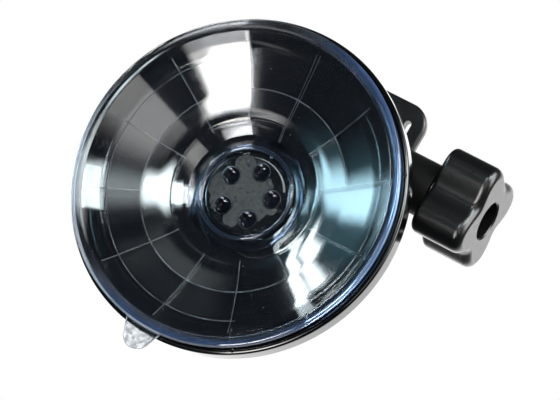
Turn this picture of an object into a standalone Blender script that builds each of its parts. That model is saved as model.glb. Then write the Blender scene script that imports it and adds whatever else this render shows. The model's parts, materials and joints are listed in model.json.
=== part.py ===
"""Vacuum suction base of a desktop reflex bag.

A clear cup hangs in a black housing. A cam lever on the housing's back pulls the cup's stem
up to lock it. A slotted plate for the bag's stalk tilts in a yoke and is clamped by a
lobed knob at the end of a long spacer sleeve. Metres, mouth of the cup down, +Z up.
"""

import math

import bmesh
import bpy

# Driving dimensions, in metres. Radii and heights are from the cup's axis and mouth plane.
FLANGE_R = 0.0550
FLANGE_FRONT_Z = 0.0042
FLANGE_BACK_Z = 0.0097
LIP_R = 0.0536
LIP_THICK = 0.0022
CUP_THICK = 0.0018
CREASE_OUTER = (0.0441, 0.0038)
CREASE_INNER = (0.0337, 0.0078)
DISH_SHOULDER = (0.0276, 0.0095)
DISH_HOLLOW = (0.0239, 0.01005)
DISH_FOOT = (0.0193, 0.01295)
RING_R = 0.0156
CENTRE_Z = 0.0136
BOSS_R = 0.0146
BOSS_TOP_Z = 0.0188
TAB_TIP_Y = 0.0612
TAB_X = -0.0015

RIB_COUNT = 12
RIB_TURN = math.radians(2)
RIB_HEIGHT = 0.0012
RIB_WIDTH = 0.0010
RIB_END_R = 0.0510
PIN_MARK_COUNT = 4
PIN_MARK_TURN = math.radians(-30)
PIN_MARK_R = 0.00065

INSERT_R = 0.0132
INSERT_Z = (0.0149, 0.0173)
INSERT_HOLES = 5
INSERT_HOLE_R = 0.0029
INSERT_HOLE_TURN = math.radians(-15)
INSERT_PITCH_R = 0.0084
STEM_R = 0.0045

DECK_R = 0.0169
DECK_Z = (0.0198, 0.0223)
WEAR_PLATE_Z = (0.0226, 0.0236)
CAM_LOCKED = 0.0055
CAM_OPEN = 0.0030
LEVER_HALF_WIDTH = 0.0110
LEVER_REACH = 0.0440
PIN_R = 0.0015

HINGE_Y = -0.0299
HINGE_Z = 0.0280
PAD_TOP_Z = 0.0185
YOKE_BASE_Z = (0.0188, 0.0212)
YOKE_HALF_WIDTH = 0.0130
YOKE_EAR_THICK = 0.0040
YOKE_EAR_R = 0.0076
YOKE_Y = (-0.0445, -0.0165)
SCREW_X = 0.0103
SCREW_Y = (-0.0415, -0.0196)

PLATE_Z = (0.0380, 0.0415)
PLATE_HALF_LENGTH = 0.0323
PLATE_Y = (-0.0547, -0.0100)
PLATE_CORNER_R = 0.0075
SLOT_X = 0.0263
SLOT_WIDTH = 0.0023
SLOT_Y = (-0.0489, -0.0148)
KNUCKLE_R = 0.0064
KNUCKLE_HALF_WIDTH = 0.0078

BOLT_R = 0.0030
BOLT_END_X = 0.0605
HEX_FLATS = 0.0100
SLEEVE_R = 0.0091
SLEEVE_X = (0.0133, 0.0500)
WASHER_THICK = 0.0010
KNOB_X = (0.0516, 0.0694)
KNOB_MEAN_R = 0.01585
KNOB_LOBE = 0.00285
KNOB_LOBES = 4
KNOB_SOCKET_R = 0.0062
KNOB_SOCKET_DEPTH = 0.0100

GAP = 0.0003
BORE_GAP = 0.0003
ROUND = 48
SMALL_ROUND = 24

PIN_Z = WEAR_PLATE_Z[1] + GAP + CAM_LOCKED
ORIGIN_X = (KNOB_X[1] - FLANGE_R) / 2
ORIGIN_Y = (TAB_TIP_Y - FLANGE_R) / 2

CUP_PVC = ((0.62, 0.72, 0.86), 0.12, 0.0)
BLACK_GLOSS = ((0.012, 0.012, 0.013), 0.25, 0.0)
BLACK_SATIN = ((0.018, 0.018, 0.018), 0.42, 0.0)
BLACK_MATTE = ((0.022, 0.022, 0.021), 0.62, 0.0)
NYLON = ((0.75, 0.74, 0.70), 0.45, 0.0)
STEEL = ((0.62, 0.62, 0.64), 0.30, 1.0)


def new_collection(name):
    collection = bpy.data.collections.new(name)
    bpy.context.scene.collection.children.link(collection)
    return collection


def make_material(name, look):
    colour, roughness, metallic = look
    material = bpy.data.materials.new(name)
    material.use_nodes = True
    shader = material.node_tree.nodes["Principled BSDF"]
    shader.inputs["Base Color"].default_value = (*colour, 1.0)
    shader.inputs["Roughness"].default_value = roughness
    shader.inputs["Metallic"].default_value = metallic
    return material


def add_piece(name, mesh, look, place=(0.0, 0.0, 0.0)):
    """A part of the object, placed from the cup's axis by the frame empty."""
    piece = bpy.data.objects.new(name, mesh)
    PARTS.objects.link(piece)
    piece.parent = FRAME
    piece.location = place
    mesh.materials.append(make_material(name, look))
    return piece


def as_tool(piece):
    """Hides a shape that only cuts or joins another."""
    PARTS.objects.unlink(piece)
    CUTTERS.objects.link(piece)
    piece.hide_render = True
    piece.display_type = "WIRE"
    return piece


def combine(piece, tool, operation):
    """Joins a tool shape to a piece, or cuts it away."""
    as_tool(tool)
    step = piece.modifiers.new(tool.name, "BOOLEAN")
    step.operation = operation
    step.solver = "EXACT"
    step.object = tool


def lie_along_x(piece):
    piece.rotation_euler = (0.0, math.pi / 2, 0.0)
    return piece


def turned(name, profile, look, steps=SMALL_ROUND, closed=True, place=(0.0, 0.0, 0.0)):
    """A (radius, height) profile turned about its own Z axis."""
    points = [(radius, 0.0, height) for radius, height in profile]
    edges = [(i, i + 1) for i in range(len(points) - 1)]
    if closed:
        edges.append((len(points) - 1, 0))
    mesh = bpy.data.meshes.new(name)
    mesh.from_pydata(points, edges, [])
    piece = add_piece(name, mesh, look, place)
    screw = piece.modifiers.new("turn", "SCREW")
    screw.steps = steps
    screw.render_steps = steps
    screw.use_merge_vertices = True
    screw.merge_threshold = 0.00001
    return piece


def ring(name, inner, outer, low, high, look, steps=SMALL_ROUND):
    """A plain washer or tube about Z."""
    profile = [(outer, high), (outer, low), (inner, low), (inner, high)]
    return turned(name, profile, look, steps)


def rod(name, radius, length, centre, along="Z", steps=SMALL_ROUND):
    """A plain cylinder used to cut or join."""
    mesh = bpy.data.meshes.new(name)
    shape = bmesh.new()
    bmesh.ops.create_cone(
        shape, cap_ends=True, segments=steps, radius1=radius, radius2=radius, depth=length
    )
    shape.to_mesh(mesh)
    shape.free()
    piece = add_piece(name, mesh, BLACK_GLOSS, centre)
    if along == "X":
        lie_along_x(piece)
    return piece


def block(name, low, high, look=BLACK_GLOSS):
    """A box between two corners."""
    size = [b - a for a, b in zip(low, high)]
    centre = [(a + b) / 2 for a, b in zip(low, high)]
    mesh = bpy.data.meshes.new(name)
    shape = bmesh.new()
    bmesh.ops.create_cube(shape, size=1.0)
    bmesh.ops.scale(shape, vec=size, verts=shape.verts)
    shape.to_mesh(mesh)
    shape.free()
    return add_piece(name, mesh, look, centre)


def flat_piece(name, outline, thickness, look, place=(0.0, 0.0, 0.0)):
    """A flat outline of the given thickness, centred on its own XY plane."""
    curve = bpy.data.curves.new(name, "CURVE")
    curve.dimensions = "2D"
    curve.fill_mode = "BOTH"
    curve.extrude = thickness / 2
    line = curve.splines.new("POLY")
    line.points.add(len(outline) - 1)
    for point, (x, y) in zip(line.points, outline):
        point.co = (x, y, 0.0, 1.0)
    line.use_cyclic_u = True
    guide = bpy.data.objects.new(name + "_outline", curve)
    bpy.context.scene.collection.objects.link(guide)
    bpy.context.view_layer.update()
    flat = guide.evaluated_get(bpy.context.evaluated_depsgraph_get())
    mesh = bpy.data.meshes.new_from_object(flat)
    bpy.data.objects.remove(guide)
    shape = bmesh.new()
    shape.from_mesh(mesh)
    bmesh.ops.remove_doubles(shape, verts=shape.verts, dist=0.000001)
    bmesh.ops.dissolve_limit(
        shape, angle_limit=math.radians(0.5), verts=shape.verts, edges=shape.edges
    )
    bmesh.ops.recalc_face_normals(shape, faces=shape.faces)
    shape.to_mesh(mesh)
    shape.free()
    mesh.materials.clear()
    mesh.name = name
    return add_piece(name, mesh, look, place)


def soften(piece, width, segments=2, angle=50):
    """Rounds the piece's sharp edges."""
    edge = piece.modifiers.new("soften", "BEVEL")
    edge.width = width
    edge.segments = segments
    edge.limit_method = "ANGLE"
    edge.angle_limit = math.radians(angle)


def arc(centre, radius, start, end, count):
    """Points along a circle, angles in degrees."""
    points = []
    for i in range(count + 1):
        angle = math.radians(start + (end - start) * i / count)
        points.append((centre[0] + radius * math.cos(angle), centre[1] + radius * math.sin(angle)))
    return points


def rounded_rectangle(half_length, low_y, high_y, radius, count=6):
    """An outline symmetric about X = 0 with round corners."""
    x = half_length - radius
    corners = [
        ((x, high_y - radius), 0),
        ((-x, high_y - radius), 90),
        ((-x, low_y + radius), 180),
        ((x, low_y + radius), 270),
    ]
    outline = []
    for centre, start in corners:
        outline += arc(centre, radius, start, start + 90, count)
    return outline


def around(count, radius, turn=0.0):
    """Points evenly spaced on a circle about the cup's axis."""
    for i in range(count):
        angle = turn + 2 * math.pi * i / count
        yield radius * math.cos(angle), radius * math.sin(angle)


def cup_front():
    """The dish's front, from the lip inwards."""
    lip_side = [(0.0504, 0.0), (0.0498, 0.0009)]
    return lip_side + [CREASE_OUTER, CREASE_INNER, DISH_SHOULDER, DISH_HOLLOW, DISH_FOOT]


def cup_back_z(radius):
    """Height of the cup's back over the given radius."""
    line = [(r, z + CUP_THICK) for r, z in cup_front()[1:]]
    for (r1, z1), (r2, z2) in zip(line, line[1:]):
        if r2 <= radius <= r1:
            return z1 + (z2 - z1) * (r1 - radius) / (r1 - r2)
    return line[0][1] if radius > line[0][0] else line[-1][1]


def make_suction_cup():
    """Clear cup: lip, creased dish, centre ring, and the boss moulded round the insert."""
    pocket_r = INSERT_R + GAP
    floor_z = INSERT_Z[0] - GAP
    ceiling_z = INSERT_Z[1] + GAP
    throat_r = INSERT_PITCH_R - INSERT_HOLE_R
    boss = [(BOSS_R, BOSS_TOP_Z), (BOSS_R, cup_back_z(BOSS_R))]
    back = [(r, z + CUP_THICK) for r, z in reversed(cup_front()[1:])]
    lip = [
        (0.0506, LIP_THICK),
        (LIP_R - 0.0004, LIP_THICK),
        (LIP_R, LIP_THICK - 0.0004),
        (LIP_R, 0.0004),
        (LIP_R - 0.0004, 0.0),
    ]
    centre = [
        (RING_R + 0.0008, 0.0127),
        (RING_R, 0.0121),
        (RING_R - 0.0010, 0.0121),
        (RING_R - 0.0014, CENTRE_Z),
        (0.0, CENTRE_Z),
    ]
    pocket = [(0.0, floor_z), (pocket_r, floor_z), (pocket_r, ceiling_z)]
    pocket += [(throat_r, ceiling_z), (throat_r, BOSS_TOP_Z)]
    profile = pocket + boss + back + lip + cup_front() + centre
    cup = turned("suction_cup", profile, CUP_PVC, ROUND, closed=False)
    for i, (x, y) in enumerate(around(INSERT_HOLES, INSERT_PITCH_R, INSERT_HOLE_TURN)):
        pillar = rod(f"cup_pillar_{i + 1}", INSERT_HOLE_R - GAP, 0.0042, (x, y, 0.0160), steps=12)
        combine(cup, pillar, "UNION")
    combine(cup, make_tab(), "UNION")


def make_tab():
    """Tongue on the lip that lets air in when it is pulled."""
    tip_r = 0.0049
    tip = arc((TAB_X, TAB_TIP_Y - tip_r), tip_r, 24, 159, 8)
    outline = [(TAB_X + 0.0082, 0.0494)] + tip + [(TAB_X - 0.0079, 0.0490)]
    return flat_piece("cup_tab", outline, 0.0014, CUP_PVC, (0.0, 0.0, 0.0010))


def make_cup_insert():
    """Holed disc inside the cup's boss, in one piece with the stem that the cam pulls."""
    top = PIN_Z + 0.0040
    profile = [
        (0.0, top),
        (STEM_R - 0.0006, top),
        (STEM_R, top - 0.0006),
        (STEM_R, INSERT_Z[1]),
        (INSERT_R, INSERT_Z[1]),
        (INSERT_R, INSERT_Z[0]),
        (0.0, INSERT_Z[0]),
    ]
    insert = turned("cup_insert", profile, BLACK_SATIN, SMALL_ROUND, closed=False)
    for i, (x, y) in enumerate(around(INSERT_HOLES, INSERT_PITCH_R, INSERT_HOLE_TURN)):
        hole = rod(f"insert_hole_{i + 1}", INSERT_HOLE_R, 0.0040, (x, y, 0.0161), steps=12)
        combine(insert, hole, "DIFFERENCE")
    cross = rod("stem_cross_hole", PIN_R + BORE_GAP, 0.0120, (0.0, 0.0, PIN_Z), "X", 16)
    combine(insert, cross, "DIFFERENCE")


def underside():
    """Line of the housing's underside over the dish, one rib height clear of the cup."""
    rise = CUP_THICK + GAP + RIB_HEIGHT
    return [(r, z + rise) for r, z in cup_front()[2:]]


def make_housing():
    """Domed shell with a wall, a raised deck for the cam, a pad for the yoke and ribs below."""
    bore = STEM_R + 0.0011
    outer = [
        (bore, DECK_Z[1]),
        (DECK_R - 0.0008, DECK_Z[1]),
        (DECK_R, DECK_Z[1] - 0.0008),
        (0.0183, 0.0189),
        (0.0240, 0.0163),
        (0.0337, 0.0133),
        (0.0440, 0.0100),
        (0.0470, FLANGE_BACK_Z),
        (FLANGE_R - 0.0012, FLANGE_BACK_Z),
        (FLANGE_R, FLANGE_BACK_Z - 0.0012),
        (FLANGE_R, FLANGE_FRONT_Z + 0.0005),
        (FLANGE_R - 0.0005, FLANGE_FRONT_Z),
        (bore, FLANGE_FRONT_Z),
    ]
    housing = turned("housing", outer, BLACK_GLOSS, ROUND)
    combine(housing, make_pad(), "UNION")
    combine(housing, make_hollow(bore - 0.0006), "DIFFERENCE")
    combine(housing, make_radial_ribs(), "UNION")
    for name, crease in (("outer", CREASE_OUTER), ("inner", CREASE_INNER)):
        combine(housing, make_ring_rib(name, crease), "UNION")
    for i, (x, y) in enumerate(around(PIN_MARK_COUNT, 0.0538, PIN_MARK_TURN)):
        mark = rod(f"pin_mark_{i + 1}", PIN_MARK_R, 0.0030, (x, y, FLANGE_FRONT_Z), steps=10)
        combine(housing, mark, "DIFFERENCE")
    for i, (x, y) in enumerate(screw_places()):
        hole = rod(f"pad_hole_{i + 1}", 0.0016, 0.0056, (x, y, 0.0184), steps=10)
        combine(housing, hole, "DIFFERENCE")


def make_pad():
    """Flat seat for the yoke, standing on the dome."""
    low, high = YOKE_Y
    outline = rounded_rectangle(YOKE_HALF_WIDTH + 0.0006, low - 0.0006, high, 0.0030, 3)
    thickness = PAD_TOP_Z - 0.0080
    centre_z = PAD_TOP_Z - thickness / 2
    return flat_piece("yoke_pad", outline, thickness, BLACK_GLOSS, (0.0, 0.0, centre_z))


def make_hollow(inner):
    """Space under the shell, open at the flange."""
    wall = FLANGE_R - 0.0024
    profile = [
        (inner, DECK_Z[0]),
        (BOSS_R + 0.0006, DECK_Z[0]),
        (BOSS_R + 0.0006, 0.0168),
        *reversed(underside()),
        (0.0465, 0.0073),
        (wall, 0.0073),
        (wall, 0.0030),
        (inner, 0.0030),
    ]
    return turned("housing_hollow", profile, BLACK_GLOSS, ROUND)


def make_radial_ribs():
    """Thin blades that the locked cup bears on."""
    shape = bmesh.new()
    radii = [DISH_HOLLOW[0], DISH_SHOULDER[0], CREASE_INNER[0], CREASE_OUTER[0], RIB_END_R]
    for turn in range(RIB_COUNT):
        angle = RIB_TURN + 2 * math.pi * turn / RIB_COUNT
        along = (math.cos(angle), math.sin(angle))
        loops = []
        for radius in radii:
            low = cup_back_z(radius) + GAP
            high = low + RIB_HEIGHT + 0.0008 + max(0.0, radius - CREASE_OUTER[0]) * 0.35
            corners = []
            for side, z in ((-1, low), (1, low), (1, high), (-1, high)):
                x = radius * along[0] - side * RIB_WIDTH / 2 * along[1]
                y = radius * along[1] + side * RIB_WIDTH / 2 * along[0]
                corners.append(shape.verts.new((x, y, z)))
            loops.append(corners)
        for first, second in zip(loops, loops[1:]):
            for i in range(4):
                j = (i + 1) % 4
                shape.faces.new((first[i], first[j], second[j], second[i]))
        shape.faces.new(loops[0])
        shape.faces.new(loops[-1])
    bmesh.ops.recalc_face_normals(shape, faces=shape.faces)
    mesh = bpy.data.meshes.new("radial_ribs")
    shape.to_mesh(mesh)
    shape.free()
    return add_piece("radial_ribs", mesh, BLACK_GLOSS)


def make_ring_rib(name, crease):
    """Circular rib behind one of the cup's creases."""
    radius = crease[0]
    low = cup_back_z(radius) + GAP + 0.0002
    high = low + RIB_HEIGHT + 0.0007
    half = RIB_WIDTH / 2
    return ring(f"ring_rib_{name}", radius - half, radius + half, low, high, BLACK_GLOSS, ROUND)


def make_stem_bush():
    """Flanged bush that guides the stem through the deck."""
    flange_z = WEAR_PLATE_Z[1] - 0.0002
    inner = STEM_R + BORE_GAP
    profile = [
        (0.0066, flange_z),
        (0.0066, WEAR_PLATE_Z[0]),
        (STEM_R + 0.0008, WEAR_PLATE_Z[0]),
        (STEM_R + 0.0008, DECK_Z[0] - 0.0002),
        (inner, DECK_Z[0] - 0.0002),
        (inner, flange_z),
    ]
    turned("stem_bush", profile, NYLON)


def cam_line(count=9):
    """The cam's outline: its reach falls evenly as the lever lifts, seen from the pin."""
    slope = (CAM_OPEN - CAM_LOCKED) / (math.pi / 2)
    points = []
    for i in range(count + 1):
        angle = math.pi / 2 * i / count
        reach = CAM_LOCKED + slope * angle
        y = -reach * math.sin(angle) - slope * math.cos(angle)
        z = -reach * math.cos(angle) + slope * math.sin(angle)
        points.append((y, z))
    return points


def lever_outline(count=8):
    """Side view of the lever from the pin: cam, back, and a handle that bends down."""
    root = 0.0120
    top = []
    bottom = []
    for i in range(count + 1):
        t = i / count
        y = root + (LEVER_REACH - root) * t
        z = 0.0042 - 0.0120 * t**1.8
        top.append((y, z))
        bottom.append((y - 0.0006 * t, z - (0.0097 - 0.0057 * t)))
    back = [(-CAM_OPEN, 0.0020), (-CAM_OPEN + 0.0010, 0.0036), (-CAM_OPEN + 0.0026, 0.0042)]
    return cam_line() + back + top + list(reversed(bottom))


def make_cam_lever():
    """Forked lever: its cheeks are cams that bear on the wear plate."""
    outline = [(-z, y) for y, z in lever_outline()]
    lever = flat_piece("cam_lever", outline, 2 * LEVER_HALF_WIDTH, BLACK_SATIN)
    for vertex in lever.data.vertices:
        across, forward, z = vertex.co.z, vertex.co.y, -vertex.co.x
        spread = 1.0 + 0.14 * max(0.0, forward - 0.0120) / (LEVER_REACH - 0.0120)
        vertex.co = (across * spread, forward, z)
    lever.location = (0.0, 0.0, PIN_Z)
    fix_normals(lever.data)
    soften(lever, 0.0008)
    slot = block("lever_slot", (-0.0049, -0.0100, PIN_Z - 0.0120), (0.0049, 0.0065, PIN_Z + 0.0100))
    combine(lever, slot, "DIFFERENCE")
    hole = rod("lever_pin_hole", PIN_R + BORE_GAP, 0.0300, (0.0, 0.0, PIN_Z), "X", 16)
    combine(lever, hole, "DIFFERENCE")


def fix_normals(mesh):
    """Turns every face outwards."""
    shape = bmesh.new()
    shape.from_mesh(mesh)
    bmesh.ops.recalc_face_normals(shape, faces=shape.faces)
    shape.to_mesh(mesh)
    shape.free()


def make_lever_pin():
    """Pin through the stem and the lever's cheeks, grooved for its two clips."""
    half = LEVER_HALF_WIDTH + 0.0014
    groove = (LEVER_HALF_WIDTH + 0.0002, LEVER_HALF_WIDTH + 0.0010)
    neck = PIN_R - 0.0004
    right = [(0.0, half), (PIN_R - 0.0002, half), (PIN_R, half - 0.0002), (PIN_R, groove[1])]
    right += [(neck, groove[1]), (neck, groove[0]), (PIN_R, groove[0])]
    left = [(r, -x) for r, x in reversed(right)]
    pin = turned("lever_pin", right + left, STEEL, 16, closed=False, place=(0.0, 0.0, PIN_Z))
    lie_along_x(pin)
    for name, side in (("pin_clip_left", -1), ("pin_clip_right", 1)):
        make_pin_clip(name, side * (groove[0] + groove[1]) / 2)


def make_pin_clip(name, x):
    """Open spring clip in a groove of the lever pin."""
    clip = ring(name, PIN_R - 0.0002, 0.0030, -0.00025, 0.00025, STEEL, 16)
    clip.location = (x, 0.0, PIN_Z)
    lie_along_x(clip)
    mouth = block(f"{name}_mouth", (x - 0.0010, -0.0009, PIN_Z), (x + 0.0010, 0.0009, PIN_Z + 0.0050))
    combine(clip, mouth, "DIFFERENCE")


def screw_places():
    """Places of the yoke's screws, from the cup's axis."""
    return [(x, y) for y in SCREW_Y for x in (-SCREW_X, SCREW_X)]


def make_hinge_yoke():
    """Base with two ears that carry the tilting plate."""
    low, high = YOKE_BASE_Z
    outline = rounded_rectangle(YOKE_HALF_WIDTH, *YOKE_Y, 0.0025, 3)
    yoke = flat_piece("hinge_yoke", outline, high - low, BLACK_SATIN, (0.0, 0.0, (low + high) / 2))
    for name, side in (("left", -1), ("right", 1)):
        combine(yoke, make_ear(name, side), "UNION")
    arc_cut = rod("yoke_arc", 0.0192, 0.0100, (0.0, 0.0, 0.0200), steps=ROUND)
    combine(yoke, arc_cut, "DIFFERENCE")
    bolt_hole = rod("yoke_bolt_hole", BOLT_R + BORE_GAP, 0.0400, (0.0, HINGE_Y, HINGE_Z), "X")
    combine(yoke, bolt_hole, "DIFFERENCE")
    for i, (x, y) in enumerate(screw_places()):
        hole = rod(f"yoke_hole_{i + 1}", 0.0016, 0.0060, (x, y, 0.0200), steps=12)
        combine(yoke, hole, "DIFFERENCE")


def make_ear(name, side):
    """Upright ear with a round top about the hinge axis."""
    foot = HINGE_Z - (YOKE_BASE_Z[0] + 0.0010)
    outline = [(foot, -YOKE_EAR_R), (foot, YOKE_EAR_R)] + arc((0.0, 0.0), YOKE_EAR_R, 90, 270, 10)
    ear = flat_piece(f"yoke_ear_{name}", outline, YOKE_EAR_THICK, BLACK_SATIN)
    ear.location = (side * (YOKE_HALF_WIDTH - YOKE_EAR_THICK / 2), HINGE_Y, HINGE_Z)
    return lie_along_x(ear)


def make_yoke_screws():
    """Four small screws that hold the yoke on its pad."""
    head_low = YOKE_BASE_Z[1] + GAP
    head_high = head_low + 0.0016
    profile = [
        (0.0, head_high),
        (0.0016, head_high),
        (0.0022, head_high - 0.0006),
        (0.0022, head_low),
        (0.0013, head_low),
        (0.0013, 0.0160),
        (0.0, 0.0160),
    ]
    for i, (x, y) in enumerate(screw_places()):
        screw = turned(f"yoke_screw_{i + 1}", profile, STEEL, 12, closed=False, place=(x, y, 0.0))
        socket = rod(f"screw_socket_{i + 1}", 0.0010, 0.0020, (x, y, head_high), steps=6)
        combine(screw, socket, "DIFFERENCE")


def make_stalk_plate():
    """Slotted plate for the bag's stalk, with the knuckle that it tilts on."""
    low, high = PLATE_Z
    outline = rounded_rectangle(PLATE_HALF_LENGTH, *PLATE_Y, PLATE_CORNER_R)
    outline = [(x, y - HINGE_Y) for x, y in outline]
    place = (0.0, HINGE_Y, (low + high) / 2)
    plate = flat_piece("stalk_plate", outline, high - low, BLACK_SATIN, place)
    soften(plate, 0.0006)
    half = KNUCKLE_HALF_WIDTH
    web_low = (-half + 0.0002, HINGE_Y - 0.0045, HINGE_Z)
    web_high = (half - 0.0002, HINGE_Y + 0.0045, low + 0.0010)
    combine(plate, block("plate_web", web_low, web_high), "UNION")
    knuckle = rod("plate_knuckle", KNUCKLE_R, 2 * half, (0.0, HINGE_Y, HINGE_Z), "X")
    combine(plate, knuckle, "UNION")
    hole = rod("plate_bolt_hole", BOLT_R + BORE_GAP, 0.0300, (0.0, HINGE_Y, HINGE_Z), "X")
    combine(plate, hole, "DIFFERENCE")
    for name, x in (("left", -SLOT_X), ("right", SLOT_X)):
        combine(plate, make_slot(name, x), "DIFFERENCE")


def make_slot(name, x):
    """Straight slot with round ends, along Y."""
    radius = SLOT_WIDTH / 2
    low, high = SLOT_Y
    outline = arc((x, high - radius), radius, 0, 180, 6)
    outline += arc((x, low + radius), radius, 180, 360, 6)
    return flat_piece(f"plate_slot_{name}", outline, 0.0100, BLACK_SATIN, (0.0, 0.0, PLATE_Z[0]))


def on_hinge(piece, x=0.0):
    """Puts a piece that was made about Z on the hinge axis."""
    piece.location = (x, HINGE_Y, HINGE_Z)
    return lie_along_x(piece)


def make_friction_discs():
    """Thin discs between the plate's knuckle and the yoke's ears."""
    low = KNUCKLE_HALF_WIDTH + GAP
    high = YOKE_HALF_WIDTH - YOKE_EAR_THICK - GAP
    for name, side in (("friction_disc_left", -1), ("friction_disc_right", 1)):
        edges = sorted((side * low, side * high))
        on_hinge(ring(name, BOLT_R + BORE_GAP, KNUCKLE_R, *edges, NYLON))


def hexagon_radius(flats):
    return flats / 2 / math.cos(math.pi / 6)


def make_hinge_bolt():
    """Long hexagon bolt through the yoke, the knuckle and the sleeve to the knob's nut."""
    face = -YOKE_HALF_WIDTH - WASHER_THICK - 2 * GAP
    end = BOLT_END_X
    profile = [(0.0, end), (BOLT_R - 0.0005, end), (BOLT_R, end - 0.0005)]
    profile += [(BOLT_R, face - 0.0010), (0.0, face - 0.0010)]
    bolt = on_hinge(turned("hinge_bolt", profile, STEEL, closed=False))
    head_x = face - 0.0020
    head = rod("bolt_head", hexagon_radius(HEX_FLATS), 0.0040, (head_x, HINGE_Y, HINGE_Z), "X", 6)
    combine(bolt, head, "UNION")
    washer_edges = (-YOKE_HALF_WIDTH - GAP - WASHER_THICK, -YOKE_HALF_WIDTH - GAP)
    on_hinge(ring("bolt_washer", BOLT_R + BORE_GAP, 0.0060, *washer_edges, STEEL))


def make_spacer_sleeve():
    """Long barrel that brings the knob clear of the housing."""
    low, high = SLEEVE_X
    edge = 0.0005
    bore = BOLT_R + 0.0004
    profile = [
        (SLEEVE_R - edge, high),
        (SLEEVE_R, high - edge),
        (SLEEVE_R, low + edge),
        (SLEEVE_R - edge, low),
        (bore, low),
        (bore, high),
    ]
    on_hinge(turned("spacer_sleeve", profile, BLACK_MATTE, 32))


def make_knob_washer():
    """Washer between the sleeve and the knob."""
    low = SLEEVE_X[1] + GAP
    on_hinge(ring("knob_washer", BOLT_R + BORE_GAP, 0.0084, low, low + WASHER_THICK, STEEL))


def knob_outline(count=64):
    """Smooth lobed outline, with lobes between the knob's upright and level directions."""
    points = []
    for i in range(count):
        angle = 2 * math.pi * i / count
        radius = KNOB_MEAN_R - KNOB_LOBE * math.cos(KNOB_LOBES * angle)
        points.append((radius * math.cos(angle), radius * math.sin(angle)))
    return points


def make_clamp_knob():
    """Lobed knob with a round socket in front and a hexagon pocket that holds the nut."""
    low, high = KNOB_X
    centre = (low + high) / 2
    knob = on_hinge(flat_piece("clamp_knob", knob_outline(), high - low, BLACK_SATIN), centre)
    soften(knob, 0.0024, 3)
    floor = high - KNOB_SOCKET_DEPTH
    socket = rod("knob_socket", KNOB_SOCKET_R, 0.0200, (floor + 0.0100, HINGE_Y, HINGE_Z), "X", 32)
    combine(knob, socket, "DIFFERENCE")
    nut_floor = floor - 0.0052
    pocket_r = hexagon_radius(HEX_FLATS + 2 * GAP)
    pocket = rod("nut_pocket", pocket_r, 0.0100, (nut_floor + 0.0050, HINGE_Y, HINGE_Z), "X", 6)
    combine(knob, pocket, "DIFFERENCE")
    bore = rod("knob_bore", BOLT_R + 0.0004, 0.0400, (centre, HINGE_Y, HINGE_Z), "X")
    combine(knob, bore, "DIFFERENCE")
    make_knob_nut(nut_floor + GAP)


def make_knob_nut(low):
    """Hexagon nut held in the knob's pocket."""
    nut = rod("knob_nut", hexagon_radius(HEX_FLATS), 0.0046, (low + 0.0023, HINGE_Y, HINGE_Z), "X", 6)
    hole = rod("nut_hole", BOLT_R + BORE_GAP, 0.0200, (low + 0.0023, HINGE_Y, HINGE_Z), "X")
    combine(nut, hole, "DIFFERENCE")


def shade_round_pieces():
    for piece in PARTS.objects:
        piece.data.shade_smooth()
        piece.data.set_sharp_from_angle(angle=math.radians(35))


for old in list(bpy.data.objects):
    bpy.data.objects.remove(old)
PARTS = new_collection("reflex_bag_suction_base")
CUTTERS = new_collection("cutters")
FRAME = bpy.data.objects.new("cup_axis", None)
bpy.context.scene.collection.objects.link(FRAME)
FRAME.location = (-ORIGIN_X, -ORIGIN_Y, 0.0)

make_suction_cup()
make_cup_insert()
make_housing()
make_stem_bush()
ring("wear_plate", 0.0070, 0.0140, *WEAR_PLATE_Z, STEEL, 32)
make_cam_lever()
make_lever_pin()
make_hinge_yoke()
make_yoke_screws()
make_stalk_plate()
make_friction_discs()
make_hinge_bolt()
make_spacer_sleeve()
make_knob_washer()
make_clamp_knob()
shade_round_pieces()
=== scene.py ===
"""Looks of the reflex bag's suction base: clear cup, glossy housing, lever, plate and clamp knob."""

import json
import math
import random

import bmesh
import bpy
from mathutils import Matrix, Vector


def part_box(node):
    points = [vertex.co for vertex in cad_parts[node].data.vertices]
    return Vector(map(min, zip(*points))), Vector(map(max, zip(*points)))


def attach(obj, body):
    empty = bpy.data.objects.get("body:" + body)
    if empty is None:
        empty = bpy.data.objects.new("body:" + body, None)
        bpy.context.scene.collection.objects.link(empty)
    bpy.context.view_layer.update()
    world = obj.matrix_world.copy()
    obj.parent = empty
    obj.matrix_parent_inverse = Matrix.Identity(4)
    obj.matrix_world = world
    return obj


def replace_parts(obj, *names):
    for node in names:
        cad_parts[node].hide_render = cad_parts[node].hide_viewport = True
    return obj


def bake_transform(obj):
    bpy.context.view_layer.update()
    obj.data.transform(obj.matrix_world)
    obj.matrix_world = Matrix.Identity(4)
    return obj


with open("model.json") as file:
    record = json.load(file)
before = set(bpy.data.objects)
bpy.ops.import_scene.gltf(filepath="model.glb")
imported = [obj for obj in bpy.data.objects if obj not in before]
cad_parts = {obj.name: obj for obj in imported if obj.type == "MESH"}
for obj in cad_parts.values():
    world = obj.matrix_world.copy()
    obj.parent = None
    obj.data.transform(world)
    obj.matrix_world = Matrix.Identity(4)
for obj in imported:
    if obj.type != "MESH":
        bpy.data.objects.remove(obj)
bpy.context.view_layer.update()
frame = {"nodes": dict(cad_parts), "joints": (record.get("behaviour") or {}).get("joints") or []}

MM = 0.001


# ---------------------------------------------------------------- places taken from the frame
def joint(name):
    return next(j for j in frame["joints"] if j["name"] == name)


HOUSING_LOW, HOUSING_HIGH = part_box("housing")
AXIS = Vector(((HOUSING_LOW.x + HOUSING_HIGH.x) / 2, (HOUSING_LOW.y + HOUSING_HIGH.y) / 2, 0.0))
FLANGE_R = (HOUSING_HIGH.x - HOUSING_LOW.x) / 2
PIN = Vector(joint("lever_lift")["pos_m"])
HINGE = Vector(joint("plate_tilt")["pos_m"])


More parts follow.
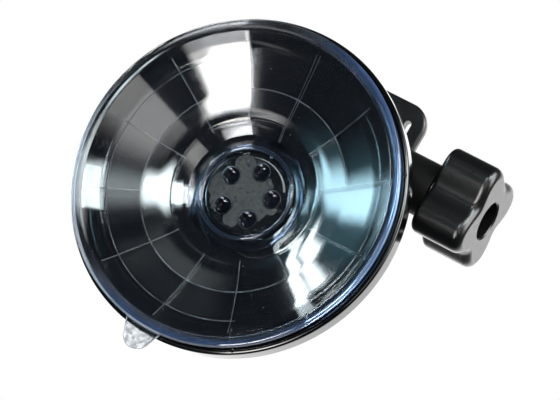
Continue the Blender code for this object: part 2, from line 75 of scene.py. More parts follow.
# ---------------------------------------------------------------- node helpers
def new_material(name):
    material = bpy.data.materials.new(name)
    material.use_nodes = True
    tree = material.node_tree
    shader = tree.nodes["Principled BSDF"]
    return material, tree, shader


def add_node(tree, kind, inputs=None, **settings):
    node = tree.nodes.new(kind)
    for key, value in settings.items():
        setattr(node, key, value)
    for key, value in (inputs or {}).items():
        node.inputs[key].default_value = value
    return node


def feed(tree, value, socket):
    """Links an output to a socket, or sets the socket's fixed value."""
    if isinstance(value, bpy.types.NodeSocket):
        tree.links.new(value, socket)
    else:
        socket.default_value = value


def math_node(tree, operation, *values):
    node = add_node(tree, "ShaderNodeMath", operation=operation)
    for value, socket in zip(values, node.inputs):
        feed(tree, value, socket)
    return node.outputs["Value"]


def vector_node(tree, operation, *values):
    node = add_node(tree, "ShaderNodeVectorMath", operation=operation)
    for value, socket in zip(values, node.inputs):
        feed(tree, value, socket)
    return node.outputs["Value" if operation in ("LENGTH", "DOT_PRODUCT") else "Vector"]


def product(tree, factors):
    result = factors[0]
    for factor in factors[1:]:
        result = math_node(tree, "MULTIPLY", result, factor)
    return result


def largest(tree, values):
    result = values[0]
    for value in values[1:]:
        result = math_node(tree, "MAXIMUM", result, value)
    return result


def mapped(tree, source, low, high, to_low=0.0, to_high=1.0, smooth=False):
    """Maps one range of values to another, and holds the ends."""
    ranges = {"From Min": low, "From Max": high, "To Min": to_low, "To Max": to_high}
    node = add_node(tree, "ShaderNodeMapRange", ranges)
    if smooth:
        node.interpolation_type = "SMOOTHSTEP"
    tree.links.new(source, node.inputs["Value"])
    return node.outputs["Result"]


def soft_step(tree, source, middle, softness, rising=True):
    """Rises smoothly from nought to one across a middle value, or falls."""
    ends = (0.0, 1.0) if rising else (1.0, 0.0)
    return mapped(tree, source, middle - softness, middle + softness, *ends, smooth=True)


def mixed(tree, factor, under, over):
    """One colour laid over another where the factor is one."""
    node = add_node(tree, "ShaderNodeMix", data_type="RGBA")
    tree.links.new(factor, node.inputs["Factor"])
    feed(tree, under, node.inputs["A"])
    feed(tree, over, node.inputs["B"])
    return node.outputs["Result"]


def noise(tree, scale, detail=3.0, roughness=0.5):
    place = add_node(tree, "ShaderNodeTexCoord")
    texture = add_node(
        tree, "ShaderNodeTexNoise", {"Scale": scale, "Detail": detail, "Roughness": roughness}
    )
    tree.links.new(place.outputs["Object"], texture.inputs["Vector"])
    return texture.outputs["Fac"]


def ramp(tree, source, stops, socket=None):
    """A colour ramp with (position, grey or colour) stops, which may feed a shader's socket."""
    node = add_node(tree, "ShaderNodeValToRGB")
    elements = node.color_ramp.elements
    while len(elements) < len(stops):
        elements.new(0.5)
    for element, (position, value) in zip(elements, stops):
        colour = value if isinstance(value, tuple) else (value, value, value)
        element.position = position
        element.color = (*colour, 1.0)
    tree.links.new(source, node.inputs["Fac"])
    if socket:
        tree.links.new(node.outputs["Color"], socket)
    return node.outputs["Color"]


def bump(tree, shader, height, strength, distance):
    node = add_node(tree, "ShaderNodeBump", {"Strength": strength, "Distance": distance})
    tree.links.new(height, node.inputs["Height"])
    tree.links.new(node.outputs["Normal"], shader.inputs["Normal"])


# ---------------------------------------------------------------- materials
def moulded(name, colour, rough, grain=0.0, grain_scale=2500.0, mottle=0.35, specular=0.5):
    """Moulded or painted plastic or metal: mottled colour, uneven gloss and, if any, a fine grain."""
    material, tree, shader = new_material(name)
    shader.inputs["Specular IOR Level"].default_value = specular
    low = tuple(c * (1 - mottle) for c in colour)
    high = tuple(c * (1 + mottle) for c in colour)
    ramp(tree, noise(tree, 90.0, 4.0), [(0.35, low), (0.65, high)], shader.inputs["Base Color"])
    ramp(tree, noise(tree, 420.0, 6.0, 0.6), [(0.3, rough[0]), (0.7, rough[1])], shader.inputs["Roughness"])
    if grain:
        bump(tree, shader, noise(tree, grain_scale, 2.0), grain, 0.0001)
    return material


def clouded(name, scale, detail, colours, rough):
    """A new material whose colour and roughness follow one noise."""
    material, tree, shader = new_material(name)
    cloud = noise(tree, scale, detail)
    ramp(tree, cloud, [(0.3, colours[0]), (0.7, colours[1])], shader.inputs["Base Color"])
    ramp(tree, cloud, [(0.3, rough[0]), (0.7, rough[1])], shader.inputs["Roughness"])
    return material, tree, shader, cloud


def zinc_steel():
    """Zinc-plated steel with fine turning marks."""
    colours = ((0.46, 0.46, 0.48), (0.66, 0.66, 0.67))
    material, tree, shader, _ = clouded("zinc_steel", 260.0, 5.0, colours, (0.22, 0.38))
    shader.inputs["Metallic"].default_value = 1.0
    bump(tree, shader, noise(tree, 1800.0, 2.0), 0.12, 0.00005)
    return material


def nylon():
    colours = ((0.68, 0.66, 0.6), (0.8, 0.79, 0.74))
    material, _, shader, _ = clouded("natural_nylon", 300.0, 3.0, colours, (0.4, 0.55))
    shader.inputs["Subsurface Weight"].default_value = 0.15
    shader.inputs["Subsurface Scale"].default_value = 0.002
    return material


def painted_rib_highlight():
    """Painted highlight: pale colour on the ribs' crests, standing in for the light they show through the
    cup.
    """
    colours = ((0.05, 0.055, 0.06), (0.17, 0.185, 0.20))
    return clouded("rib_crest_painted_highlight", 240.0, 4.0, colours, (0.35, 0.55))[0]


def film_painted_reflection():
    """Thin film of trapped air between the cup and its insert, coloured grey as a painted reflection of the
    light it mirrors.
    """
    colours = ((0.044, 0.044, 0.042), (0.100, 0.100, 0.095))
    material, tree, shader, cloud = clouded("air_film_painted_reflection", 900.0, 5.0, colours, (0.25, 0.5))
    bump(tree, shader, cloud, 0.3, 0.0001)
    return material


def ring_painted_glow_mask(tree, radius, height):
    """Mask of a painted glow: one on the front of the centre ring's crest, nought elsewhere."""
    near = math_node(tree, "COMPARE", radius, 15.0 * MM, 0.75 * MM)
    front = math_node(tree, "LESS_THAN", height, 13.1 * MM)
    return product(tree, [near, front])


def dust_specks(tree):
    """Sparse specks of dust, each about 0.2 mm across."""
    place = add_node(tree, "ShaderNodeTexCoord")
    cells = add_node(tree, "ShaderNodeTexVoronoi", {"Scale": 330.0, "Randomness": 1.0})
    tree.links.new(place.outputs["Object"], cells.inputs["Vector"])
    split = add_node(tree, "ShaderNodeSeparateColor")
    tree.links.new(cells.outputs["Color"], split.inputs["Color"])
    near = mapped(tree, cells.outputs["Distance"], 0.035, 0.05, 1.0, 0.0)
    few = math_node(tree, "GREATER_THAN", split.outputs["Red"], 0.80)
    return product(tree, [near, few])


def lip_painted_glow(tree, flat, radius):
    """Painted glow on the lip: how blue it is coloured, patchy, and strongest on the side towards the knob.
    """
    lip = mapped(tree, radius, 50.2 * MM, 52.8 * MM)
    side = vector_node(tree, "DOT_PRODUCT", flat, (0.979, 0.202, 0.0))
    lit = mapped(tree, side, -26 * MM, 16 * MM, 0.02, 1.0, smooth=True)
    patchy = mapped(tree, noise(tree, 45.0, 3.0), 0.3, 0.7, 0.45)
    return product(tree, [lip, lit, patchy])


def lip_edge_highlight(tree, flat, radius):
    """Painted highlight: the lip's outermost ring, coloured near white on the side of the tab, where light
    gathers in it.
    """
    side = vector_node(tree, "DOT_PRODUCT", flat, (-0.28, 0.96, 0.0))
    return product(
        tree, [mapped(tree, side, 2 * MM, 26 * MM), mapped(tree, radius, 52.75 * MM, 53.1 * MM)]
    )


def tab_edge_highlight_mask(tree, place, radius):
    """Mask of a painted highlight: one on the tab's upright edges, which are coloured blue-white."""
    normal = add_node(tree, "ShaderNodeSeparateXYZ")
    tree.links.new(place.outputs["Normal"], normal.inputs["Vector"])
    level = math_node(tree, "ABSOLUTE", normal.outputs["Z"])
    return product(
        tree,
        [
            soft_step(tree, level, 0.75, 0.15, rising=False),
            soft_step(tree, radius, 54.0 * MM, 0.2 * MM),
        ],
    )


def clear_pvc():
    """Clear, slightly blue PVC, with painted glow and highlights: the lip and the centre ring are coloured
    blue where light gathers in them, and the lip's edge and the tab's edges near white.
    """
    material, tree, shader = new_material("clear_blue_pvc")
    shader.inputs["IOR"].default_value = 1.50
    place = add_node(tree, "ShaderNodeTexCoord")
    centred = vector_node(tree, "SUBTRACT", place.outputs["Object"], AXIS)
    split = add_node(tree, "ShaderNodeSeparateXYZ")
    tree.links.new(centred, split.inputs["Vector"])
    height = split.outputs["Z"]
    flat = vector_node(tree, "MULTIPLY", centred, (1.0, 1.0, 0.0))
    radius = vector_node(tree, "LENGTH", flat)

    off_tab = mapped(tree, radius, 53.4 * MM, 54.0 * MM, 1.0, 0.0)
    # Painted glow: the lip is coloured blue where light gathers in it.
    rim = product(tree, [lip_painted_glow(tree, flat, radius), off_tab])
    # Painted glow: the centre ring's crest is coloured blue.
    ring_glow = ramp(tree, ring_painted_glow_mask(tree, radius, height), [(0.0, 0.0), (1.0, 0.36)])
    lined = largest(tree, [rim, ring_glow])
    # Painted highlight: the lip's outer edge is coloured near white.
    edge = product(tree, [lip_edge_highlight(tree, flat, radius), off_tab])
    # Painted highlight: the tab's upright edges are coloured blue-white.
    outline = tab_edge_highlight_mask(tree, place, radius)
    # Painted shade: the clear pillars inside the insert's holes are coloured dark and made nearly opaque,
    # so no light comes back out of them.
    pillars_painted_shade = product(
        tree,
        [
            soft_step(tree, height, 14.85 * MM, 0.1 * MM),
            soft_step(tree, radius, 12.9 * MM, 0.1 * MM, rising=False),
        ],
    )
    dust = dust_specks(tree)
    off_tip = soft_step(tree, radius, 54.9 * MM, 0.4 * MM, rising=False)

    frost = [(0.40, (0.34, 0.36, 0.37)), (0.60, (0.86, 0.88, 0.89))]
    blues = [(0.0, (0.97, 0.985, 1.0)), (0.30, (0.36, 0.50, 0.80)), (1.0, (0.13, 0.25, 0.60))]
    colour = mixed(tree, edge, ramp(tree, lined, blues), (0.93, 0.96, 1.0, 1.0))
    colour = mixed(tree, off_tip, ramp(tree, noise(tree, 700.0, 5.0), frost), colour)
    colour = mixed(tree, dust, colour, (0.75, 0.77, 0.78, 1.0))
    colour = mixed(tree, outline, colour, (0.80, 0.88, 1.0, 1.0))
    colour = mixed(tree, pillars_painted_shade, colour, (0.010, 0.013, 0.020, 1.0))
    tree.links.new(colour, shader.inputs["Base Color"])

    frosted = ramp(tree, off_tip, [(0.0, 0.40), (1.0, 0.0)])
    solid = largest(tree, [lined, frosted, edge, dust, outline, pillars_painted_shade])
    ramp(tree, solid, [(0.0, 1.0), (1.0, 0.18)], shader.inputs["Transmission Weight"])
    ramp(tree, noise(tree, 160.0, 4.0), [(0.35, 0.02), (0.75, 0.05)], shader.inputs["Roughness"])
    bump(tree, shader, noise(tree, 45.0, 0.5), 0.25, 0.0005)
    let_light_through(tree, shader)
    return material


def let_light_through(tree, shader):
    """Shadow rays pass, and light is tinted blue on its way through."""
    path = add_node(tree, "ShaderNodeLightPath")
    through = add_node(tree, "ShaderNodeBsdfTransparent", {"Color": (0.96, 0.98, 1.0, 1.0)})
    mix = add_node(tree, "ShaderNodeMixShader")
    output = tree.nodes["Material Output"]
    for source, socket in (
        (path.outputs["Is Shadow Ray"], mix.inputs[0]),
        (shader.outputs["BSDF"], mix.inputs[1]),
        (through.outputs["BSDF"], mix.inputs[2]),
        (mix.outputs["Shader"], output.inputs["Surface"]),
    ):
        tree.links.new(source, socket)
    tint = add_node(
        tree, "ShaderNodeVolumeAbsorption", {"Color": (0.28, 0.48, 1.0, 1.0), "Density": 25.0}
    )
    tree.links.new(tint.outputs["Volume"], output.inputs["Volume"])


MATERIALS = {
    "pvc": clear_pvc(),
    "insert": moulded("insert_black", (0.005, 0.005, 0.005), (0.16, 0.30), 0.05),
    "housing": moulded("housing_gloss_black", (0.005, 0.005, 0.006), (0.09, 0.14)),
    "lever": moulded("lever_satin_black", (0.014, 0.014, 0.0138), (0.34, 0.48), 0.25),
    "plate": moulded("plate_satin_black", (0.013, 0.0129, 0.0127), (0.26, 0.38), 0.20, 1800.0),
    "sleeve": moulded("sleeve_matte_black", (0.028, 0.0272, 0.0258), (0.46, 0.60), 0.55, 2200.0, 0.2, 0.35),
    "knob": moulded("knob_satin_black", (0.024, 0.0236, 0.0225), (0.27, 0.32), 0.06, 2400.0, 0.12),
    "steel": zinc_steel(),
    "nylon": nylon(),
    # Painted highlight on the rib crests.
    "line": painted_rib_highlight(),
    # Painted reflection on the trapped air film.
    "film": film_painted_reflection(),
    # Painted highlight on the insert's rim.
    "glint": moulded("insert_rim_painted_highlight", (0.42, 0.43, 0.44), (0.15, 0.35), 0.1),
    # Painted highlight on the hole rims.
    "rim": moulded("hole_rim_painted_highlight", (0.16, 0.20, 0.26), (0.2, 0.35), 0.1),
}


# ---------------------------------------------------------------- shape helpers, in the row frame
def link(name, mesh, material, place=(0.0, 0.0, 0.0)):
    piece = bpy.data.objects.new(name, mesh)
    bpy.context.scene.collection.objects.link(piece)
    piece.location = place
    if material:
        mesh.materials.append(MATERIALS[material])
    return piece


def screwed(name, profile, material, steps, closed):
    """A (radius, height) profile turned about its own Z axis."""
    points = [(radius, 0.0, height) for radius, height in profile]
    edges = [(i, i + 1) for i in range(len(points) - 1)]
    if closed:
        edges.append((len(points) - 1, 0))
    mesh = bpy.data.meshes.new(name)
    mesh.from_pydata(points, edges, [])
    piece = link(name, mesh, material)
    screw = piece.modifiers.new("turn", "SCREW")
    screw.steps = steps
    screw.render_steps = steps
    screw.use_merge_vertices = True
    screw.merge_threshold = 0.000001
    return piece


def final(piece):
    """Applies a piece's modifiers and place to its mesh."""
    bpy.context.view_layer.update()
    shape = piece.evaluated_get(bpy.context.evaluated_depsgraph_get())
    mesh = bpy.data.meshes.new_from_object(shape)
    mesh.transform(piece.matrix_world)
    old = piece.data
    piece.modifiers.clear()
    piece.data = mesh
    piece.matrix_world = Matrix.Identity(4)
    if isinstance(old, bpy.types.Mesh):
        bpy.data.meshes.remove(old)
    mesh.name = piece.name
    return piece


def turned(name, profile, material, steps=64, closed=True, place=AXIS, along_x=False):
    piece = screwed(name, profile, material, steps, closed)
    if along_x:
        piece.rotation_euler = (0.0, math.pi / 2, 0.0)
    piece.location = place
    return final(piece)


def cut(piece, tool, operation="DIFFERENCE"):
    """Cuts a tool shape from a piece, or joins it, and removes the tool."""
    step = piece.modifiers.new("cut", "BOOLEAN")
    step.operation = operation
    step.solver = "EXACT"
    step.object = tool
    final(piece)
    bpy.data.objects.remove(tool)
    return piece


def prism(name, outline, low, high, material, axis="Z", place=AXIS):
    """An outline extruded from low to high along Z, or along X with (y, z) points."""
    shape = bmesh.new()
    loops = []
    for level in (low, high):
        if axis == "Z":
            loops.append([shape.verts.new((a, b, level)) for a, b in outline])
        else:
            loops.append([shape.verts.new((level, a, b)) for a, b in outline])
    shape.faces.new(loops[0])
    shape.faces.new(loops[1])
    count = len(outline)
    for i in range(count):
        j = (i + 1) % count
        shape.faces.new((loops[0][i], loops[0][j], loops[1][j], loops[1][i]))
    bmesh.ops.recalc_face_normals(shape, faces=shape.faces)
    mesh = bpy.data.meshes.new(name)
    shape.to_mesh(mesh)
    shape.free()
    return final(link(name, mesh, material, place))


def lofted(name, loops, material, place=(0.0, 0.0, 0.0)):
    """A closed solid through loops of points, capped at both ends."""
    shape = bmesh.new()
    rings = [[shape.verts.new(point) for point in loop] for loop in loops]
    count = len(rings[0])
    for first, second in zip(rings, rings[1:]):
        for i in range(count):
            j = (i + 1) % count
            shape.faces.new((first[i], first[j], second[j], second[i]))
    shape.faces.new(rings[0])
    shape.faces.new(rings[-1])
    bmesh.ops.recalc_face_normals(shape, faces=shape.faces)
    mesh = bpy.data.meshes.new(name)
    shape.to_mesh(mesh)
    shape.free()
    return link(name, mesh, material, place)


def cylinder(name, radius, low, high, place, along_x=False, steps=48, material=None):
    profile = [(0.0, high), (radius, high), (radius, low), (0.0, low)]
    return turned(name, profile, material, steps, False, place, along_x)


def rounded(piece, width, segments=3, angle=40):
    """Rounds a piece's sharp edges."""
    edge = piece.modifiers.new("edges", "BEVEL")
    edge.width = width
    edge.segments = segments
    edge.limit_method = "ANGLE"
    edge.angle_limit = math.radians(angle)
    return final(piece)


def shade(piece, angle=35):
    """Smooth shading that keeps sharp edges sharp and flat faces flat."""
    piece.data.shade_smooth()
    piece.data.set_sharp_from_angle(angle=math.radians(angle))
    weigh = piece.modifiers.new("flat_faces", "WEIGHTED_NORMAL")
    weigh.keep_sharp = True
    return piece


def arc(centre, radius, start, end, count):
    points = []
    for i in range(count + 1):
        angle = math.radians(start + (end - start) * i / count)
        points.append((centre[0] + radius * math.cos(angle), centre[1] + radius * math.sin(angle)))
    return points


def eased(points, radius, count=5):
    """Rounds the inner corners of an open line of points, by one radius or one for each corner."""
    line = [points[0]]
    radii = radius if isinstance(radius, (list, tuple)) else [radius] * (len(points) - 2)
    for before, corner, after, size in zip(points, points[1:], points[2:], radii):
        if not size:
            line.append(corner)
            continue
        corner = Vector(corner)
        back = Vector(before) - corner
        ahead = Vector(after) - corner
        reach = min(size, back.length * 0.45, ahead.length * 0.45)
        start = corner + back.normalized() * reach
        end = corner + ahead.normalized() * reach
        for i in range(count + 1):
            t = i / count
            point = start * (1 - t) ** 2 + corner * 2 * t * (1 - t) + end * t**2
            line.append(tuple(point))
    line.append(points[-1])
    return line


def rounded_rectangle(half_length, low_y, high_y, radius, count=10):
    x = half_length - radius
    corners = [
        ((x, high_y - radius), 0),
        ((-x, high_y - radius), 90),
        ((-x, low_y + radius), 180),
        ((x, low_y + radius), 270),
    ]
    outline = []
    for centre, start in corners:
        outline += arc(centre, radius, start, start + 90, count)
    return outline


def direction(angle):
    """Flat unit vector at an angle from +X."""
    return Vector((math.cos(angle), math.sin(angle), 0))


def around(count, radius, turn=0.0):
    """Points (x, y) evenly spaced on a circle."""
    for i in range(count):
        angle = turn + 2 * math.pi * i / count
        yield radius * math.cos(angle), radius * math.sin(angle)


# ---------------------------------------------------------------- the clear cup
LIP_R = (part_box("suction_cup")[1].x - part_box("suction_cup")[0].x) / 2
TAB_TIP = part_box("suction_cup")[1].y - AXIS.y
CUP_THICK = 1.8 * MM
CREASES = ((44.1 * MM, 3.8 * MM), (33.7 * MM, 7.8 * MM))
DISH = (
    (49.8 * MM, 0.9 * MM),
    *CREASES,
    (27.6 * MM, 9.5 * MM),
    (23.9 * MM, 10.05 * MM),
    (19.3 * MM, 12.95 * MM),
    (17.2 * MM, 13.0 * MM),
)
RING_R = 15.6 * MM
CENTRE_Z = 13.6 * MM
BOSS_R = 14.6 * MM
BOSS_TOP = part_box("suction_cup")[1].z
INSERT_LOW, INSERT_HIGH = 14.9 * MM, 17.3 * MM
INSERT_R = (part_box("cup_insert")[1].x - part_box("cup_insert")[0].x) / 2
HOLE_COUNT = 5
HOLE_PITCH_R = 8.4 * MM
HOLE_R = 2.9 * MM
HOLE_TURN = math.radians(-15)
FIT = 0.3 * MM
LIP_LEAN = Vector((-0.60, 0.0, 0.0)) * MM
LEAN_FROM, LEAN_OVER = 34.0 * MM, 16.0 * MM


def dish_front():
    """The dish's front as (radius, height), with each corner eased by its own size."""
    return eased(list(DISH), [1.0 * MM, 1.0 * MM, 3.0 * MM, 0.6 * MM, 0.0])


def dish_height(radius):
    """Height of the dish's front at a radius."""
    line = dish_front()
    for (r1, z1), (r2, z2) in zip(line, line[1:]):
        if r2 <= radius <= r1:
            return z1 + (z2 - z1) * (r1 - radius) / max(r1 - r2, 1e-9)
    return line[0][1]


def cup_profile():
    """Half section of the cup, from the pocket's floor round to the middle of the front."""
    throat = HOLE_PITCH_R - HOLE_R
    floor = INSERT_LOW - FIT
    ceiling = INSERT_HIGH + FIT
    pocket = [(0.0, floor), (INSERT_R + FIT, floor), (INSERT_R + FIT, ceiling)]
    pocket += [(throat, ceiling), (throat, BOSS_TOP)]
    edge = 0.5 * MM
    boss = [(BOSS_R - edge, BOSS_TOP), (BOSS_R, BOSS_TOP - edge), (BOSS_R, 15.9 * MM)]
    back = [(r, z + CUP_THICK) for r, z in reversed(dish_front()) if r > 18.0 * MM]
    lip = [(50.6 * MM, 2.2 * MM)]
    lip += [(LIP_R - 0.9 * MM + r, 1.1 * MM + z) for r, z in arc((0, 0), 0.9 * MM, 85, -85, 10)]
    lip += [(LIP_R - 0.9 * MM, 0.0), (50.6 * MM, 0.0)]
    crest = arc((RING_R - 0.55 * MM, 12.7 * MM), 0.6 * MM, 10, -190, 10)
    centre = crest + [(RING_R - 1.5 * MM, CENTRE_Z), (0.0, CENTRE_Z)]
    return pocket + boss + back + lip + dish_front() + centre


def tab_outline():
    """Tongue on the lip: square at its root, round at its tip."""
    x = -1.5 * MM
    tip_r = 4.9 * MM
    tip = arc((x, TAB_TIP - tip_r), tip_r, 23, 160, 20)
    return [(x + 7.95 * MM, 50.0 * MM)] + tip + [(x - 7.7 * MM, 49.6 * MM)]


def lean_cup(cup):
    """The soft cup sits slightly to one side: its lip is off centre and its middle isn't."""
    for vertex in cup.data.vertices:
        reach = math.hypot(vertex.co.x - AXIS.x, vertex.co.y - AXIS.y)
        share = min(max((reach - LEAN_FROM) / LEAN_OVER, 0.0), 1.0)
        vertex.co += LIP_LEAN * share * share * (3 - 2 * share)


def make_cup():
    cup = turned("clear_cup", cup_profile(), "pvc", 180, closed=False)
    for x, y in around(HOLE_COUNT, HOLE_PITCH_R, HOLE_TURN):
        pillar = cylinder("pillar", HOLE_R - FIT, 14.2 * MM, 18.1 * MM, AXIS + Vector((x, y, 0)))
        cut(cup, pillar, "UNION")
    tab = prism("tab", tab_outline(), 0.35 * MM, 1.65 * MM, "pvc")
    cut(cup, rounded(tab, 0.35 * MM, 2), "UNION")
    lean_cup(cup)
    cup.data.shade_smooth()
    cup.data.set_sharp_from_angle(angle=math.radians(22))
    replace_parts(cup, "suction_cup")
    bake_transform(cup)


# ---------------------------------------------------------------- painted highlight lines and painted reflection film behind the cup
def ribbon(name, centre_line, width, thick, material, body="base"):
    """A thin strip along points given with their sideways directions."""
    corners = ((-1, 0), (1, 0), (1, 1), (-1, 1))
    loops = [
        [point + side * (across * width / 2) + Vector((0, 0, up * thick)) for across, up in corners]
        for point, side in centre_line
    ]
    piece = lofted(name, loops, material)
    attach(piece, body)


RIB_COUNT = 12
RIB_TURN = math.radians(2)
DOUBLE_RIB = 9
CREST_THICK = 0.15 * MM
FILM_THICK = 0.08 * MM
FILM_LOW = INSERT_LOW - 0.2 * MM
# Turn at which the hole rims' painted highlight is widest.
RIM_HIGHLIGHT_TURN = math.radians(-140)


def back_height(radius):
    """Just behind the cup's back at a radius."""
    return dish_height(radius) + CUP_THICK + 0.06 * MM


def make_radial_lines():
    """Painted highlight strips on the crests of the twelve ribs, each with its own reach and a slight
    waver.
    """
    chance = random.Random(7)
    for i in range(RIB_COUNT):
        turn = RIB_TURN + 2 * math.pi * i / RIB_COUNT
        inner = (23.6 + chance.uniform(-0.8, 1.5)) * MM
        outer = (49.0 + chance.uniform(-1.2, 0.6)) * MM
        drift = chance.uniform(-0.008, 0.008)
        width = chance.uniform(0.30, 0.46) * MM
        if i == DOUBLE_RIB:
            radial_line("rib_crest_10_left", turn - 0.012, 19.6 * MM, outer, drift, 0.16 * MM)
            radial_line("rib_crest_10_right", turn + 0.012, 19.6 * MM, outer, drift, 0.16 * MM)
        else:
            radial_line(f"rib_crest_{i + 1}", turn, inner, outer, drift, width)


def radial_line(name, turn, inner, outer, drift, width):
    points = []
    for step in range(25):
        t = step / 24
        radius = inner + (outer - inner) * t
        angle = turn + drift * math.sin(3.0 * t)
        spot = AXIS + direction(angle) * radius
        spot.z = back_height(radius)
        points.append((spot, Vector((-math.sin(angle), math.cos(angle), 0))))
    ribbon(name, points, width, CREST_THICK, "line")


def make_ring_lines():
    """Painted highlight arcs on the two circular ribs' crests."""
    arcs = (
        ("outer", CREASES[0][0], 60, 230, 0.34),
        ("inner", CREASES[1][0], 20, 330, 0.40),
    )
    for name, radius, start, end, width in arcs:
        points = []
        for step in range(121):
            angle = math.radians(start + (end - start) * step / 120)
            side = direction(angle)
            spot = AXIS + side * radius
            spot.z = back_height(radius) + 0.05 * MM
            points.append((spot, side))
        ribbon(f"ring_crest_{name}", points, width * MM, CREST_THICK, "line")


FILM_LOBES = (
    # angle from +X and reach (mm) of each tongue, and half its width (degrees)
    (-124, 13.0, 22),
    (172, 12.9, 30),
    (140, 12.2, 20),
    (93, 11.6, 19),
    (30, 9.9, 16),
    (5, 11.5, 13),
    (-52, 9.0, 19),
)


def film_reach(angle):
    """How far the film runs from its middle: a small disc with round tongues."""
    disc = 7.2
    reach = disc
    for lobe, far, half in FILM_LOBES:
        off = (math.degrees(angle) - lobe + 180) % 360 - 180
        reach = max(reach, disc + (far - disc) * math.exp(-((off / half) ** 4)))
    return (reach + 0.12 * math.sin(23 * angle) + 0.08 * math.sin(41 * angle + 1)) * MM


def make_film():
    """Lobed film between the insert and the cup, cut out round the holes; its grey is a painted reflection.
    """
    outline = []
    for i in range(240):
        angle = 2 * math.pi * i / 240
        outline.append((film_reach(angle) * math.cos(angle), film_reach(angle) * math.sin(angle)))
    film = prism("air_film", outline, FILM_LOW, FILM_LOW + FILM_THICK, "film")
    for x, y in around(HOLE_COUNT, HOLE_PITCH_R, HOLE_TURN):
        hole = cylinder("hole", HOLE_R + 0.4 * MM, 14.0 * MM, 16.0 * MM, AXIS + Vector((x, y, 0)))
        cut(film, hole)
    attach(film, "stem")


def make_rim_glint():
    """Painted highlight: a pale crescent along the insert's rim at the film's edge, widest at one end."""
    start, end = math.radians(-108), math.radians(-30)
    points = []
    for step in range(41):
        t = step / 40
        side = direction(start + (end - start) * t)
        spot = AXIS + side * (12.3 * MM)
        spot.z = FILM_LOW
        points.append((spot, side * (0.25 + 0.75 * t**2)))
    ribbon("insert_rim_glint", points, 0.8 * MM, FILM_THICK, "glint", "stem")


def make_hole_rim_highlights():
    """Painted highlight: a thin pale ring where the cup's pillar enters each hole, widest on its lit side
    and open on its dim side.
    """
    for i, (x, y) in enumerate(around(HOLE_COUNT, HOLE_PITCH_R, HOLE_TURN)):
        points = []
        for step in range(49):
            angle = RIM_HIGHLIGHT_TURN + math.radians(184 + 352 * step / 48)
            side = direction(angle)
            spot = AXIS + Vector((x, y, FILM_LOW)) + side * (HOLE_R + 0.1 * MM)
            width = 0.55 + 0.45 * math.cos(angle - RIM_HIGHLIGHT_TURN)
            points.append((spot, side * width))
        ribbon(f"hole_rim_{i + 1}", points, 0.26 * MM, FILM_THICK, "rim", "stem")


def make_insert():
    """Holed disc and stem, with softened edges."""
    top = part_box("cup_insert")[1].z
    stem_r = 4.5 * MM
    edge = 0.25 * MM
    profile = [
        (0.0, top),
        (stem_r - 0.6 * MM, top),
        (stem_r, top - 0.6 * MM),
        (stem_r, INSERT_HIGH + 0.8 * MM),
        (stem_r + 0.8 * MM, INSERT_HIGH),
        (INSERT_R - edge, INSERT_HIGH),
        (INSERT_R, INSERT_HIGH - edge),
        (INSERT_R, INSERT_LOW + edge),
        (INSERT_R - edge, INSERT_LOW),
        (0.0, INSERT_LOW),
    ]
    insert = turned("insert_and_stem", profile, "insert", 96, closed=False)
    for x, y in around(HOLE_COUNT, HOLE_PITCH_R, HOLE_TURN):
        cut(insert, cylinder("hole", HOLE_R, 14.0 * MM, 18.0 * MM, AXIS + Vector((x, y, 0))))
    cut(insert, cylinder("cross", 1.8 * MM, -6 * MM, 6 * MM, PIN, along_x=True, steps=32))
    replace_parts(shade(insert), "cup_insert")
    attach(insert, "stem")


# ---------------------------------------------------------------- the housing
FLANGE_FRONT = HOUSING_LOW.z
FLANGE_BACK = 9.7 * MM
DECK_R = 16.9 * MM
DECK_LOW, DECK_TOP = 19.8 * MM, HOUSING_HIGH.z
PAD_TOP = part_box("hinge_yoke")[0].z - FIT
YOKE_LOW, YOKE_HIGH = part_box("hinge_yoke")
SCREW_HOLE_R = 1.6 * MM


def screw_middles():
    for number in range(1, 5):
        low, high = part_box(f"yoke_screw_{number}")
        yield (low + high) / 2


def housing_outline():
    bore = 5.6 * MM
    dome = [
        (DECK_R, DECK_TOP),
        (18.2 * MM, 18.6 * MM),
        (24.0 * MM, 16.3 * MM),
        (33.7 * MM, 13.3 * MM),
        (44.0 * MM, 10.0 * MM),
        (47.5 * MM, FLANGE_BACK),
        (FLANGE_R, FLANGE_BACK),
        (FLANGE_R, FLANGE_FRONT),
        (bore, FLANGE_FRONT),
    ]
    return eased([(bore, DECK_TOP)] + dome, 1.0 * MM, 6)


def make_housing():
    housing = turned("housing_shell", housing_outline(), "housing", 180)
    half = (YOKE_HIGH.x - YOKE_LOW.x) / 2 + 0.6 * MM
    low = YOKE_LOW.y - AXIS.y - 0.6 * MM
    outline = rounded_rectangle(half, low, YOKE_HIGH.y - AXIS.y, 3.0 * MM, 6)
    pad = prism("pad", outline, 8.0 * MM, PAD_TOP, "housing")
    cut(housing, rounded(pad, 0.5 * MM, 2), "UNION")
    cut(housing, turned("hollow", hollow_outline(), "housing", 180))
    for i in range(RIB_COUNT):
        cut(housing, radial_rib(RIB_TURN + 2 * math.pi * i / RIB_COUNT), "UNION")
    for x, y in around(4, 53.8 * MM, math.radians(-30)):
        place = AXIS + Vector((x, y, FLANGE_FRONT))
        cut(housing, cylinder("mark", 0.65 * MM, -1.5 * MM, 1.0 * MM, place, steps=24))
    for middle in screw_middles():
        middle.z = PAD_TOP
        cut(housing, cylinder("hole", SCREW_HOLE_R, -2.9 * MM, 1.0 * MM, middle, steps=24))
    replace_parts(shade(housing, 30), "housing")
    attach(housing, "base")


